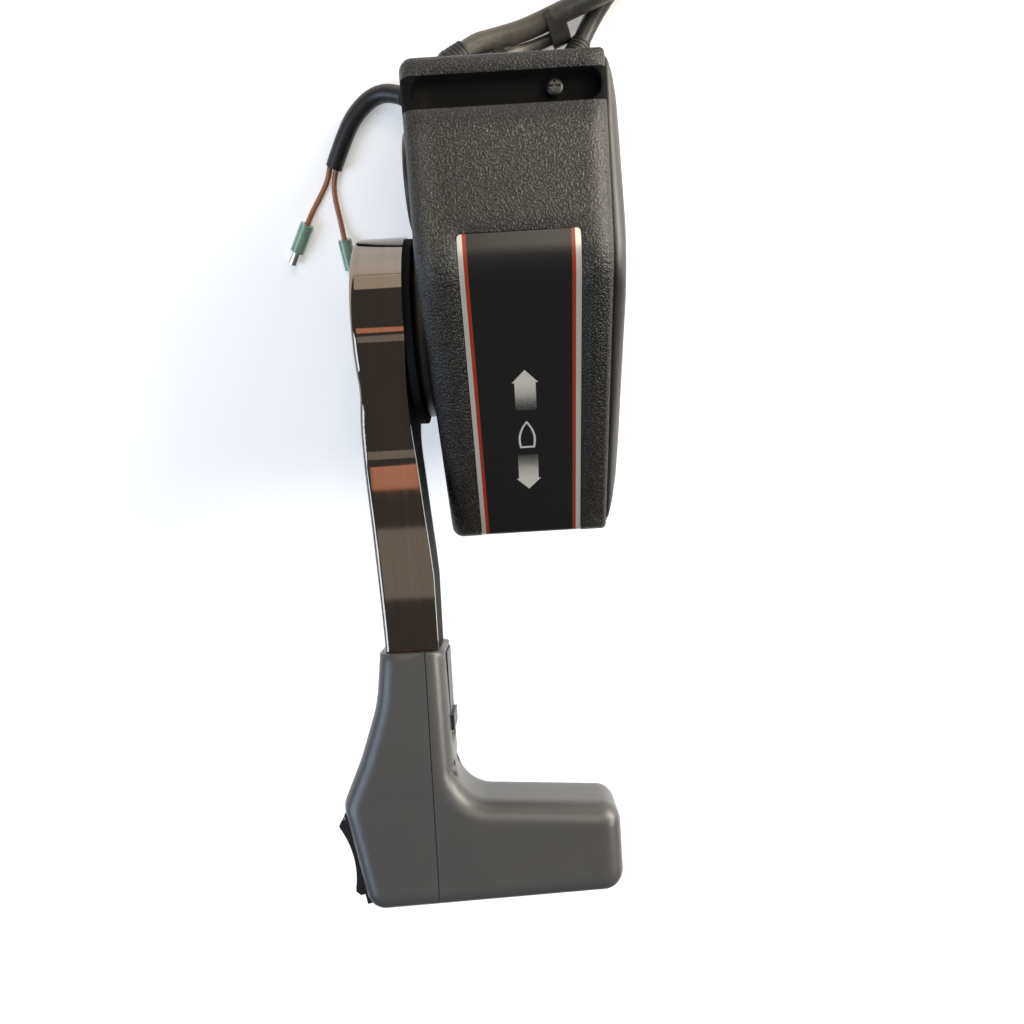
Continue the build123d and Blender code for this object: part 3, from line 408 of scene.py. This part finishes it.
# The boat is an outline: half its width falls off with the square of the distance from its
# widest place, faster to the bow than to the transom.
widest_x, transom_x, line_width, half_beam = -0.0320, -0.0358, 0.0008, 0.0033
bow_curve, stern_curve = 50.3, 33.2
hull = x - widest_x
hull_half = half_beam - (hull.most(0.0) * hull.most(0.0)) * bow_curve - (
    hull.least(0.0) * hull.least(0.0)) * stern_curve
boat = across.below(hull_half) * x.above(transom_x)
boat = boat - across.below(hull_half - line_width) * x.above(transom_x + line_width)
ahead_tip, astern_tip = -0.0029, -0.0550
marks = arrow(ahead_tip, 1).most(arrow(astern_tip, -1)).most(boat)
weave = decal.noise(0.0003, 2.0)
ground = decal.mix(weave, (0.002, 0.002, 0.003), (0.008, 0.008, 0.008))
ground = decal.mix(marks, ground, (0.38, 0.365, 0.34))
ground = decal.mix(red, ground, (0.21, 0.019, 0.010))
decal.set("Base Color", decal.mix(silver, ground, (0.50, 0.48, 0.45)))
decal.set("Metallic", silver * 0.5)
decal.set("Roughness", 0.27 + weave * 0.08)
decal.bump(weave, 0.00002)
coat(nodes["fascia_plate"], decal)

# ---------------------------------------------------------------- wall cover, boss and caps
# Plain satin mouldings without grain: the pillowed cover that bolts to the boat, the boss
# round the lever's shaft, the blanking plug, and the cap in the lever's hub.
satin_black = Finish("satin_black", (0.010, 0.010, 0.010), 0.4)
film = satin_black.noise(0.012, 3.0)
satin_black.set("Roughness", 0.34 + film * 0.12)
satin_black.set("Base Color", satin_black.mix(
    film, (0.006, 0.006, 0.006), (0.014, 0.013, 0.012)))
satin_black.bump(satin_black.noise(0.0004, 2.0), 0.00003, rounding=0.003)
for name in ("wall_cover", "hub_boss", "switch_hole_plug", "hub_cap", "warning_buzzer"):
    coat(nodes[name], satin_black)

black_screw = Finish("black_screw", (0.012, 0.012, 0.012), 0.32, metallic=0.3)
black_screw.set("Roughness", 0.28 + black_screw.noise(0.001, 2.0) * 0.15)
for name in ("ledge_screw", "aft_screw", "grip_screws"):
    coat(nodes[name], black_screw)

# ---------------------------------------------------------------- lever
# A die-cast arm painted black, inside a trough of plastic plated with smoked chrome. The
# plating is mirror-bright with faint polishing lines along the lever.
smoked_chrome = Finish("smoked_chrome", (0.20, 0.172, 0.145), 0.05, metallic=1.0)
x, y, z = smoked_chrome.axes()
rest_angle = math.radians(60)
upward = x * -math.sin(rest_angle) + z * math.cos(rest_angle)
streaks_along, streaks_across = 18.0, 900.0
lines = smoked_chrome.noise(1.0, 3.0, smoked_chrome.node("ShaderNodeCombineXYZ", {}, {
    "X": upward * streaks_along, "Y": y * streaks_across,
    "Z": (x * math.cos(rest_angle) + z) * streaks_along}))
smoked_chrome.set("Roughness", 0.02 + lines * 0.05)
smoked_chrome.set("Base Color", smoked_chrome.mix(
    lines, (0.175, 0.148, 0.125), (0.23, 0.195, 0.165)))
coat(nodes["lever_cover"], smoked_chrome)

black_alloy = Finish("black_alloy", (0.005, 0.005, 0.006), 0.7, Specular_IOR_Level=0.08)
black_alloy.set("Roughness", 0.65 + black_alloy.noise(0.003, 3.0) * 0.14)
coat(nodes["lever_arm"], black_alloy)

# ---------------------------------------------------------------- grip, trim switch and lock
# Two soft satin mouldings screwed together round the lever's tang. The trim rocker sits in
# its bezel on the outer face, and the neutral-lock slide in the neck on the boat's side.
grip_grey = Finish("grip_grey", (0.054, 0.055, 0.055), 0.40)
skin = grip_grey.noise(0.02, 3.0)
grip_grey.set("Base Color", grip_grey.mix(skin, (0.043, 0.044, 0.046), (0.054, 0.054, 0.053)))
grip_grey.set("Roughness", 0.28 + grip_grey.noise(0.004, 3.0) * 0.10)
# The corners look soft, but the groove where the two halves meet stays sharp.
x, y, z = grip_grey.axes()
parting_y, groove_half, softest = 0.0810, 0.0006, 0.005
softness = ((abs(y - parting_y) - groove_half) * 0.8).most(0.0).least(softest)
grip_grey.bump(grip_grey.noise(0.0005, 2.0), 0.00003, rounding=softness)
for name in ("grip_port_half", "grip_starboard_half"):
    coat(nodes[name], grip_grey)

button_black = Finish("button_black", (0.007, 0.007, 0.008), 0.38)
button_black.set("Roughness", 0.33 + button_black.noise(0.003, 2.0) * 0.14)
button_black.bump(button_black.noise(0.0004, 2.0), 0.00003)
for name in ("switch_bezel", "trim_rocker", "lock_release", "throttle_button",
             "neutral_switch"):
    coat(nodes[name], button_black)

# ---------------------------------------------------------------- works inside the case
# Machined gears with a film of grease, zinc-plated chassis, pins and fasteners, and nylon
# bushes. They show only with the wall cover off.
gear_steel = Finish("gear_steel", (0.48, 0.46, 0.42), 0.3, metallic=1.0)
grease = gear_steel.noise(0.006, 4.0)
gear_steel.set("Roughness", 0.22 + grease * 0.25)
gear_steel.set("Base Color", gear_steel.mix(grease, (0.52, 0.50, 0.47), (0.36, 0.31, 0.23)))
for name in ("main_gear", "throttle_arm", "shift_arm", "detent_roller"):
    coat(nodes[name], gear_steel)

zinc_steel = Finish("zinc_steel", (0.60, 0.60, 0.58), 0.35, metallic=1.0)
spangle = zinc_steel.noise(0.005, 2.0)
zinc_steel.set("Roughness", 0.28 + spangle * 0.18)
zinc_steel.set("Base Color", zinc_steel.mix(spangle, (0.50, 0.50, 0.48), (0.68, 0.67, 0.63)))
for name in ("chassis_plate", "chassis_screws", "throttle_pivot_pin", "shift_pivot_pin",
             "pivot_clips", "main_shaft", "detent_post", "detent_spring", "lever_washer",
             "lever_bolt", "rocker_pin"):
    coat(nodes[name], zinc_steel)

nylon = Finish("nylon", (0.72, 0.70, 0.62), 0.5)
nylon.set("Roughness", 0.42 + nylon.noise(0.004, 2.0) * 0.15)
for name in ("hub_bush", "chassis_bush"):
    coat(nodes[name], nylon)

# ---------------------------------------------------------------- bench and studio light
# A pale bench under the box, in a dim room: warm soft boxes over the bow and the starboard
# side, a cool one to port, and two small cards over the lever that its plating mirrors.
bench = bpy.data.meshes.new("bench")
reach = 15.0
bench.from_pydata([(-reach, -reach, floor_z * MM), (reach, -reach, floor_z * MM),
                   (reach, reach, floor_z * MM), (-reach, reach, floor_z * MM)], [],
                  [(0, 1, 2, 3)])
bench_piece = bpy.data.objects.new("bench", bench)
scene.collection.objects.link(bench_piece)
bench_finish = Finish("bench_white", (0.93, 0.93, 0.93), 0.9)
bench_finish.set("Emission Color", (1.0, 1.0, 1.0))
bench_finish.set("Emission Strength", 0.3)
bench.materials.append(bench_finish.material)

world = bpy.data.worlds.new("studio")
scene.world = world
scene.view_settings.view_transform = "Standard"
world.use_nodes = True
world.node_tree.nodes["Background"].inputs["Color"].default_value = (1.0, 0.96, 0.92, 1.0)
# The room lights the box dimly, but its far wall is as pale as the bench's far end.
room_light, wall_light = 0.15, 0.31
seen = world.node_tree.nodes.new("ShaderNodeLightPath").outputs["Is Camera Ray"]
haze = world.node_tree.nodes.new("ShaderNodeMath")
haze.operation = "MULTIPLY_ADD"
haze.inputs[1].default_value, haze.inputs[2].default_value = wall_light, room_light
world.node_tree.links.new(seen, haze.inputs[0])
world.node_tree.links.new(
    haze.outputs[0], world.node_tree.nodes["Background"].inputs["Strength"])


def soft_light(name, place, aim, width, height, power, colour):
    """A soft box of that width and height in metres that faces a point."""
    data = bpy.data.lights.new(name, "AREA")
    data.shape = "RECTANGLE"
    data.size, data.size_y = width, height
    data.energy = power
    data.color = colour
    lamp = bpy.data.objects.new(name, data)
    toward = np.array(aim, float) - np.array(place, float)
    toward /= np.linalg.norm(toward)
    side = np.cross(toward, (0, 0, 1.0))
    side /= np.linalg.norm(side)
    pose = np.eye(4)
    pose[:3, 0], pose[:3, 1], pose[:3, 2] = side, np.cross(side, toward), -toward
    pose[:3, 3] = place
    lamp.matrix_world = pose.T.tolist()
    scene.collection.objects.link(lamp)


box_middle = (0, 0.04, 0)
soft_light("bow_light", (0.862, -0.183, 1.213), box_middle, 0.5, 0.3, 3.0, (1.0, 0.90, 0.76))
soft_light("slope_light", (1.23, -0.10, 0.86), box_middle, 0.5, 0.22, 3.5, (1.0, 0.90, 0.74))
soft_light("side_light", (0.5, -1.1, 0.25), box_middle, 1.0, 0.5, 26.0, (1.0, 0.92, 0.80))
soft_light("corner_light", (0.935, -0.842, 0.614), box_middle, 0.8, 0.6, 8.0, (1.0, 0.93, 0.80))
soft_light("low_light", (1.467, 0.206, 0.200), box_middle, 0.5, 0.46, 0.8, (1.0, 0.90, 0.76))
soft_light("starboard_light", (0.1, -1.1, 0.8), box_middle, 0.45, 0.45, 9.0, (1.0, 0.95, 0.88))
soft_light("port_light", (-0.1, 1.1, 0.8), box_middle, 0.8, 0.8, 11.0, (0.62, 0.77, 1.0))
soft_light("copper_card", (0.336, 0.205, 0.737), (-0.040, 0.205, 0.041), 0.07, 0.080, 0.026,
           (1.0, 0.43, 0.25))
soft_light("grey_card", (0.205, 0.192, 0.800), (-0.072, 0.192, 0.057), 0.12, 0.10, 0.018,
           (1.0, 0.93, 0.85))
